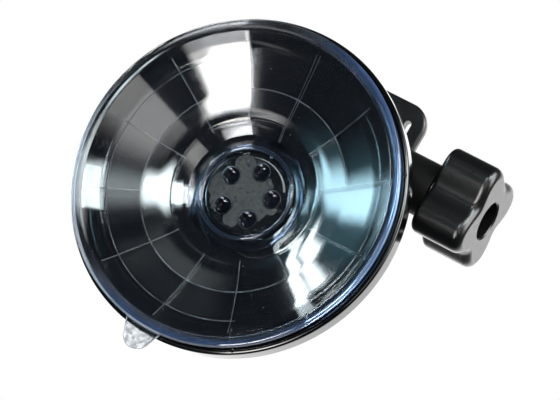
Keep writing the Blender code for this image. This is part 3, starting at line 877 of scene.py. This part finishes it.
def hollow_outline():
    rise = CUP_THICK + 1.5 * MM
    wall = FLANGE_R - 2.4 * MM
    edge = 46.5 * MM
    under = [(r, z + rise) for r, z in dish_front() if 18.0 * MM < r < edge]
    inner = 5.0 * MM
    return [
        (inner, DECK_LOW),
        (BOSS_R + 0.6 * MM, DECK_LOW),
        (BOSS_R + 0.6 * MM, 16.8 * MM),
        *reversed(under),
        (edge, dish_height(edge) + rise),
        (wall, dish_height(edge) + rise),
        (wall, 3.0 * MM),
        (inner, 3.0 * MM),
    ]


def radial_rib(turn):
    """A thin blade under the shell, reaching almost to the cup."""
    side = Vector((-math.sin(turn), math.cos(turn), 0)) * 0.5 * MM
    outer_crease = CREASES[0][0]
    loops = []
    for radius in (23.9 * MM, 27.6 * MM, 30.5 * MM, 33.7 * MM, outer_crease, 51.0 * MM):
        low = dish_height(radius) + CUP_THICK + FIT
        high = low + 2.0 * MM + max(0.0, radius - outer_crease) * 0.35
        corners = ((-1, low), (1, low), (1, high), (-1, high))
        loops.append([direction(turn) * radius + side * s + Vector((0, 0, z)) for s, z in corners])
    return final(lofted("rib", loops, "housing", AXIS))


# ---------------------------------------------------------------- lever, plate, yoke
def cam_line(count=16):
    """Outline of the cam: its flat follower drops evenly as the lever lifts."""
    locked, opened = 5.5 * MM, 3.0 * MM
    slope = (opened - locked) / (math.pi / 2)
    points = []
    for i in range(count + 1):
        angle = math.pi / 2 * i / count
        reach = locked + slope * angle
        y = -reach * math.sin(angle) - slope * math.cos(angle)
        z = -reach * math.cos(angle) + slope * math.sin(angle)
        points.append((y, z))
    return points


LEVER_ROOT = 12.0 * MM
LEVER_REACH = 44.0 * MM
GRIP_FROM, GRIP_TO = 0.62, 0.95
GRIP_DEPTH = 0.28 * MM


def handle_line(t):
    """Line that the handle's top follows, from its root (t = 0) to its tip (t = 1)."""
    return LEVER_ROOT + (LEVER_REACH - LEVER_ROOT) * t, 4.2 * MM - 12.0 * MM * t**1.8


def handle_top(t):
    """Top of the handle, with four grip steps near its tip."""
    y, z = handle_line(t)
    grip = 0.0
    if GRIP_FROM < t < GRIP_TO:
        grip = GRIP_DEPTH * max(0.0, math.sin((t - GRIP_FROM) * 2 * math.pi * 12))
    return y, z - GRIP_DEPTH + grip if t > 0.6 else z


def lever_outline():
    top = [handle_top(i / 96) for i in range(97)]
    bottom = []
    for i in range(25):
        t = i / 24
        y, z = handle_line(t)
        bottom.append((y - 0.6 * MM * t, z - (9.7 - 5.7 * t) * MM))
    back = [(-3.0 * MM, 2.0 * MM), (-2.4 * MM, 3.2 * MM), (-1.2 * MM, 4.0 * MM), (0.4 * MM, 4.2 * MM)]
    return cam_line() + back + top + list(reversed(bottom))


def make_lever():
    lever = prism("lever_body", lever_outline(), -11 * MM, 11 * MM, "lever", "X", (0, 0, 0))
    for vertex in lever.data.vertices:
        reach = max(0.0, vertex.co.y - LEVER_ROOT) / (LEVER_REACH - LEVER_ROOT)
        vertex.co.x *= 1.0 + 0.14 * reach
    lever.data.transform(Matrix.Translation(PIN))
    rounded(lever, 0.7 * MM, 3, 60)
    slot = [(-10 * MM, -12 * MM), (6.5 * MM, -12 * MM), (6.5 * MM, 10 * MM), (-10 * MM, 10 * MM)]
    cut(lever, prism("slot", slot, -4.9 * MM, 4.9 * MM, None, "X", PIN))
    cut(lever, cylinder("hole", 1.8 * MM, -15 * MM, 15 * MM, PIN, along_x=True, steps=32))
    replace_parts(shade(lever, 38), "cam_lever")
    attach(lever, "lever")


def make_plate():
    low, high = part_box("stalk_plate")
    plate_low = 38.0 * MM
    half = (high.x - low.x) / 2
    outline = rounded_rectangle(half, low.y - AXIS.y, high.y - AXIS.y, 7.5 * MM, 20)
    plate = prism("plate_body", outline, plate_low, high.z, "plate")
    rounded(plate, 0.9 * MM, 4)
    web = prism(
        "web", [(-4.5 * MM, 0.0), (4.5 * MM, 0.0), (4.5 * MM, 10.4 * MM), (-4.5 * MM, 10.4 * MM)],
        -7.6 * MM, 7.6 * MM, "plate", "X", HINGE,
    )
    cut(plate, web, "UNION")
    cut(plate, cylinder("knuckle", 6.4 * MM, -7.8 * MM, 7.8 * MM, HINGE, True, 64, "plate"), "UNION")
    cut(plate, cylinder("bore", 3.3 * MM, -9 * MM, 9 * MM, HINGE, True))
    radius = 1.15 * MM
    for side in (-1, 1):
        slot = arc((side * 26.3 * MM, -14.8 * MM - radius), radius, 0, 180, 16)
        slot += arc((side * 26.3 * MM, -48.9 * MM + radius), radius, 180, 360, 16)
        cut(plate, prism("slot", slot, 36 * MM, 44 * MM, "plate"))
    rounded(plate, 0.25 * MM, 2, 50)
    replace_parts(shade(plate), "stalk_plate")
    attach(plate, "plate")


def make_yoke():
    low, high = YOKE_LOW, YOKE_HIGH
    half = (high.x - low.x) / 2
    base_top = 21.2 * MM
    outline = rounded_rectangle(half, low.y - AXIS.y, high.y - AXIS.y, 2.5 * MM, 8)
    yoke = prism("yoke_body", outline, low.z, base_top, "plate")
    ear_r = 7.6 * MM
    foot = low.z + 1.0 * MM - HINGE.z
    ear = [(-ear_r, foot), (ear_r, foot)] + arc((0, 0), ear_r, 0, 180, 32)
    for side in (-1, 1):
        edges = sorted((side * (half - 4.0 * MM), side * half))
        cut(yoke, prism("ear", ear, *edges, "plate", "X", HINGE), "UNION")
    cut(yoke, cylinder("arc", 19.2 * MM, 15 * MM, 25 * MM, AXIS, steps=128))
    cut(yoke, cylinder("bore", 3.3 * MM, -20 * MM, 20 * MM, HINGE, True))
    for middle in screw_middles():
        cut(yoke, cylinder("hole", SCREW_HOLE_R, -6 * MM, 6 * MM, middle, steps=32))
    rounded(yoke, 0.4 * MM, 3, 40)
    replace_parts(shade(yoke), "hinge_yoke")
    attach(yoke, "base")


# ---------------------------------------------------------------- barrel, knob, fasteners
def make_sleeve():
    low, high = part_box("spacer_sleeve")
    radius = (high.z - low.z) / 2
    start, end = low.x - HINGE.x, high.x - HINGE.x
    bore = 3.4 * MM
    profile = eased([(bore, end), (radius, end), (radius, start), (bore, start)], 0.6 * MM, 5)
    sleeve = turned("sleeve_body", profile, "sleeve", 96, True, HINGE, True)
    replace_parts(shade(sleeve), "spacer_sleeve")
    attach(sleeve, "base")


def knob_radius(angle):
    """Radius of the knob's four-lobed outline."""
    return (15.85 - 2.85 * math.cos(4 * angle)) * MM


def make_knob():
    """Lobed knob with wide round edges, as rings from its back to its front."""
    low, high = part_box("clamp_knob")
    back_round, front_round = 1.6 * MM, 3.0 * MM
    stations = []
    for i in range(5, -1, -1):
        turn = math.pi / 2 * i / 5
        stations.append((low.x + back_round * (1 - math.sin(turn)), back_round * (1 - math.cos(turn))))
    for i in range(10):
        turn = math.pi / 2 * i / 9
        stations.append((high.x - front_round * (1 - math.sin(turn)), front_round * (1 - math.cos(turn))))
    count = 160
    loops = []
    for x, inset in stations:
        loop = []
        for i in range(count):
            angle = 2 * math.pi * i / count
            radius = knob_radius(angle) - inset
            loop.append((x, HINGE.y + radius * math.cos(angle), HINGE.z + radius * math.sin(angle)))
        loops.append(loop)
    finish_knob(lofted("knob_body", loops, "knob"), high.x)


def finish_knob(knob, front):
    """Socket with a broken edge, nut pocket and bore."""
    socket_r, depth, lip = 6.2 * MM, 10.0 * MM, 0.5 * MM
    floor = front - depth
    mouth = [(0.0, depth + 1 * MM), (socket_r + lip, depth + 1 * MM), (socket_r + lip, depth),
             (socket_r, depth - lip), (socket_r, 0.0), (0.0, 0.0)]
    place = Vector((floor, HINGE.y, HINGE.z))
    cut(knob, turned("socket", mouth, "knob", 96, False, place, True))
    cut(knob, prism("pocket", hexagon_outline(10.6 * MM), -5.2 * MM, 1 * MM, "knob", "X", place))
    cut(knob, cylinder("bore", 3.4 * MM, -20 * MM, 5 * MM, place, True))
    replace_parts(shade(knob, 40), "clamp_knob")
    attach(knob, "knob")


def hexagon_outline(flats):
    corner = flats / 2 / math.cos(math.pi / 6)
    return list(around(6, corner))


def hexagon(name, flats, low, high, place, chamfer):
    """A steel hexagon along X whose corners are turned off at both ends."""
    solid = prism(name, hexagon_outline(flats), low, high, "steel", "X", place)
    reach = flats / 2 / math.cos(math.pi / 6) + 0.05 * MM
    bound = [
        (0.0, high), (reach - 2 * chamfer, high), (reach, high - chamfer),
        (reach, low + chamfer), (reach - 2 * chamfer, low), (0.0, low),
    ]
    return cut(solid, turned("bound", bound, "steel", 48, False, place, True), "INTERSECT")


def thread_profile(radius, start, end, pitch=1.0 * MM):
    """Outline of a threaded stretch, as a saw of shallow grooves."""
    count = int((end - start) / pitch)
    points = []
    for i in range(count, 0, -1):
        x = start + pitch * i
        points += [(radius, x), (radius - 0.45 * MM, x - pitch / 2)]
    return points + [(radius, start)]


def make_bolt():
    low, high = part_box("hinge_bolt")
    radius, chamfer = 3.0 * MM, 0.7 * MM
    head_low, end = low.x - HINGE.x, high.x - HINGE.x
    head_high = head_low + 4.0 * MM
    profile = [(0.0, end), (radius - chamfer, end)]
    profile += thread_profile(radius, end - 22 * MM, end - chamfer)
    profile += [(radius, head_high - 1 * MM), (0.0, head_high - 1 * MM)]
    bolt = turned("bolt_body", profile, "steel", 48, False, HINGE, True)
    head = hexagon("head", 10 * MM, head_low, head_high, HINGE, 0.5 * MM)
    cut(bolt, head, "UNION")
    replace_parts(shade(bolt, 25), "hinge_bolt")
    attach(bolt, "base")


def make_nut():
    low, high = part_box("knob_nut")
    start, end = low.x - HINGE.x, high.x - HINGE.x
    nut = hexagon("nut_body", 10 * MM, start, end, HINGE, 0.5 * MM)
    cut(nut, cylinder("hole", 3.3 * MM, start - 5 * MM, end + 5 * MM, HINGE, True))
    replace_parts(shade(nut, 25), "knob_nut")
    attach(nut, "knob")


def make_yoke_screws():
    """Domed screws with a cross recess."""
    for number in range(1, 5):
        name = f"yoke_screw_{number}"
        low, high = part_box(name)
        centre = (low + high) / 2
        centre.z = 0.0
        head_low = high.z - 1.6 * MM
        dome = [
            (0.0, high.z), (0.9 * MM, high.z - 0.08 * MM), (1.6 * MM, high.z - 0.4 * MM),
            (2.1 * MM, high.z - 1.0 * MM), (2.2 * MM, head_low + 0.1 * MM), (2.1 * MM, head_low),
        ]
        shank = [(1.3 * MM, head_low), (1.3 * MM, low.z + 0.5 * MM), (0.8 * MM, low.z), (0.0, low.z)]
        screw = turned(name + "_body", dome + shank, "steel", 40, False, centre)
        arm, thin = 1.15 * MM, 0.28 * MM
        for long_x, long_y in ((arm, thin), (thin, arm)):
            outline = [(-long_x, -long_y), (long_x, -long_y), (long_x, long_y), (-long_x, long_y)]
            recess = prism("recess", outline, high.z - 0.9 * MM, high.z + 1 * MM, "steel", place=centre)
            cut(screw, recess)
        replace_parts(shade(screw, 25), name)
        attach(screw, "base")


def dress_cad_nodes():
    """Small parts whose CAD shape is right keep it and get their finish."""
    finishes = {
        "stem_bush": "nylon",
        "wear_plate": "steel",
        "lever_pin": "steel",
        "pin_clip_left": "steel",
        "pin_clip_right": "steel",
        "friction_disc_left": "nylon",
        "friction_disc_right": "nylon",
        "bolt_washer": "steel",
        "knob_washer": "steel",
    }
    for name, finish in finishes.items():
        node = frame["nodes"][name]
        node.data.materials.clear()
        node.data.materials.append(MATERIALS[finish])


# ---------------------------------------------------------------- camera, light and stage
# The camera's own right, and its direction from the object: below the cup's mouth.
RIGHT = Vector((0.8253, -0.5045, 0.2536)).normalized()
BACK = Vector((0.3600, 0.1240, -0.9240)).normalized()
FOCAL_MM = 200.0
SENSOR_MM = 36.0
VIEW_WIDTH = 0.1750
TARGET_RIGHT, TARGET_UP = 0.01419, -0.00590


def make_camera():
    up = BACK.cross(RIGHT).normalized()
    right = up.cross(BACK).normalized()
    distance = FOCAL_MM * VIEW_WIDTH / SENSOR_MM
    target = AXIS + right * TARGET_RIGHT + up * TARGET_UP
    data = bpy.data.cameras.new("camera")
    data.lens = FOCAL_MM
    data.sensor_width = SENSOR_MM
    data.clip_start = 0.01
    camera = bpy.data.objects.new("camera", data)
    bpy.context.scene.collection.objects.link(camera)
    turn = Matrix((right, up, BACK)).transposed().to_4x4()
    camera.matrix_world = Matrix.Translation(target + BACK * distance) @ turn
    bpy.context.scene.camera = camera


WORLD_STRENGTH = 2.2
SIDE_GLOW = Vector((0.78, -0.60, -0.15)).normalized()
SIDE_RADIANCE = 11.0
CYAN = (0.55, 0.88, 1.0)
ICE = (0.90, 1.0, 1.0)
WARM = (1.0, 0.98, 0.94)
TEAL = (0.35, 0.85, 1.0)
SKY_PANELS = (
    # centre (x, y), turn (degrees), half sizes, softness of the two ends, of the two sides,
    # radiance and colour
    ((0.026, 0.415), 64, (0.255, 0.117), (0.10, 0.03), (0.045, 0.010), 20.0, WARM),
    ((0.160, 0.415), 38, (0.195, 0.080), (0.05, 0.04), (0.030, 0.030), 7.0, WARM),
    ((-0.090, 0.700), 5, (0.120, 0.016), (0.08, 0.06), (0.022, 0.022), 1.5, WARM),
    ((0.451, -0.565), 54.7, (0.140, 0.150), (0.012, 0.05), (0.050, 0.030), 20.0, ICE),
    ((-0.020, -0.285), -28, (0.135, 0.070), (0.03, 0.08), (0.045, 0.045), 18.0, ICE),
    ((0.170, -0.390), -28, (0.110, 0.080), (0.07, 0.07), (0.070, 0.070), 2.2, ICE),
    ((0.400, -0.020), 19, (0.260, 0.150), (0.08, 0.03), (0.110, 0.010), 2.2, WARM),
    ((-0.260, 0.160), 0, (0.100, 0.030), (0.06, 0.06), (0.030, 0.030), 3.0, WARM),
    ((-0.280, -0.560), 0, (0.220, 0.080), (0.10, 0.10), (0.080, 0.080), 0.40, ICE),
    ((-0.745, 0.060), 0, (0.185, 0.085), (0.04, 0.03), (0.040, 0.060), 9.0, CYAN),
    ((-0.740, 0.000), 0, (0.240, 0.220), (0.10, 0.10), (0.120, 0.150), 0.55, TEAL),
    ((-0.735, -0.300), 222, (0.210, 0.024), (0.02, 0.05), (0.014, 0.010), 16.0, ICE),
    ((-0.764, -0.213), 229, (0.140, 0.036), (0.05, 0.03), (0.028, 0.018), 15.0, ICE),
)


def along_axis(tree, place, axis):
    """How far a ray's direction runs along an axis."""
    return vector_node(tree, "DOT_PRODUCT", place.outputs["Generated"], axis)


def scaled(tree, colour, factor):
    """A fixed or linked colour times a factor."""
    node = add_node(tree, "ShaderNodeVectorMath", operation="SCALE")
    feed(tree, colour, node.inputs[0])
    tree.links.new(factor, node.inputs["Scale"])
    return node.outputs["Vector"]


def total(tree, colours):
    result = colours[0]
    for colour in colours[1:]:
        result = vector_node(tree, "ADD", result, colour)
    return result


def sky_panel(tree, place, centre, turn, halves, ends, sides, radiance, colour):
    """A lit rectangle with soft edges, laid out by the x and y of a ray's direction."""
    turn = math.radians(turn)
    middle = Vector((*centre, 0.0))
    axes = (direction(turn), direction(turn + math.pi / 2))
    factors = []
    for axis, half, (low_soft, high_soft) in zip(axes, halves, (ends, sides)):
        offset = along_axis(tree, place, axis)
        factors.append(soft_step(tree, offset, middle.dot(axis) - half, low_soft))
        factors.append(soft_step(tree, offset, middle.dot(axis) + half, high_soft, rising=False))
    return scaled(tree, [c * radiance / WORLD_STRENGTH for c in colour], product(tree, factors))


def make_world():
    """White behind the object, and dark with soft-edged panels on the side that the cup faces."""
    world = bpy.data.worlds.new("studio")
    bpy.context.scene.world = world
    world.use_nodes = True
    tree = world.node_tree
    background = tree.nodes["Background"]
    place = add_node(tree, "ShaderNodeTexCoord")
    height = along_axis(tree, place, (0.0, 0.0, 1.0))
    tones = [(0.0, (0.018, 0.023, 0.030)), (0.60, 0.03), (0.88, 0.10), (0.985, 1.10)]
    surround = ramp(tree, mapped(tree, height, -0.2, 0.9), tones)
    panels = [sky_panel(tree, place, *panel) for panel in SKY_PANELS]
    below = scaled(tree, total(tree, panels), soft_step(tree, height, -0.17, 0.05, rising=False))
    facing = along_axis(tree, place, SIDE_GLOW)
    beside = product(
        tree,
        [soft_step(tree, facing, 0.885, 0.085), soft_step(tree, height, 0.10, 0.14, rising=False)],
    )
    glow = scaled(tree, [SIDE_RADIANCE / WORLD_STRENGTH] * 3, beside)
    lit = total(tree, [surround, below, glow])
    path = add_node(tree, "ShaderNodeLightPath")
    plain = 1.0 / WORLD_STRENGTH
    seen = mixed(tree, path.outputs["Is Camera Ray"], lit, (plain, plain, plain, 1.0))
    tree.links.new(seen, background.inputs["Color"])
    background.inputs["Strength"].default_value = WORLD_STRENGTH


def make_floor():
    """Plain pale floor, far enough below to leave the view into the cup free."""
    mesh = bpy.data.meshes.new("floor")
    shape = bmesh.new()
    bmesh.ops.create_grid(shape, x_segments=1, y_segments=1, size=40.0)
    shape.to_mesh(mesh)
    shape.free()
    floor = bpy.data.objects.new("floor", mesh)
    bpy.context.scene.collection.objects.link(floor)
    floor.location = (0.0, 0.0, -1.6)
    material, _, shader = new_material("pale_floor")
    shader.inputs["Base Color"].default_value = (0.92, 0.92, 0.92, 1.0)
    shader.inputs["Roughness"].default_value = 0.8
    mesh.materials.append(material)
    floor.visible_glossy = False
    floor.visible_transmission = False
    floor.visible_diffuse = False


bpy.context.scene.view_settings.view_transform = "Standard"
make_camera()
make_world()
make_floor()
make_cup()
make_radial_lines()
make_ring_lines()
make_film()
make_rim_glint()
make_hole_rim_highlights()
make_insert()
make_housing()
make_lever()
make_plate()
make_yoke()
make_sleeve()
make_knob()
make_bolt()
make_nut()
make_yoke_screws()
dress_cad_nodes()
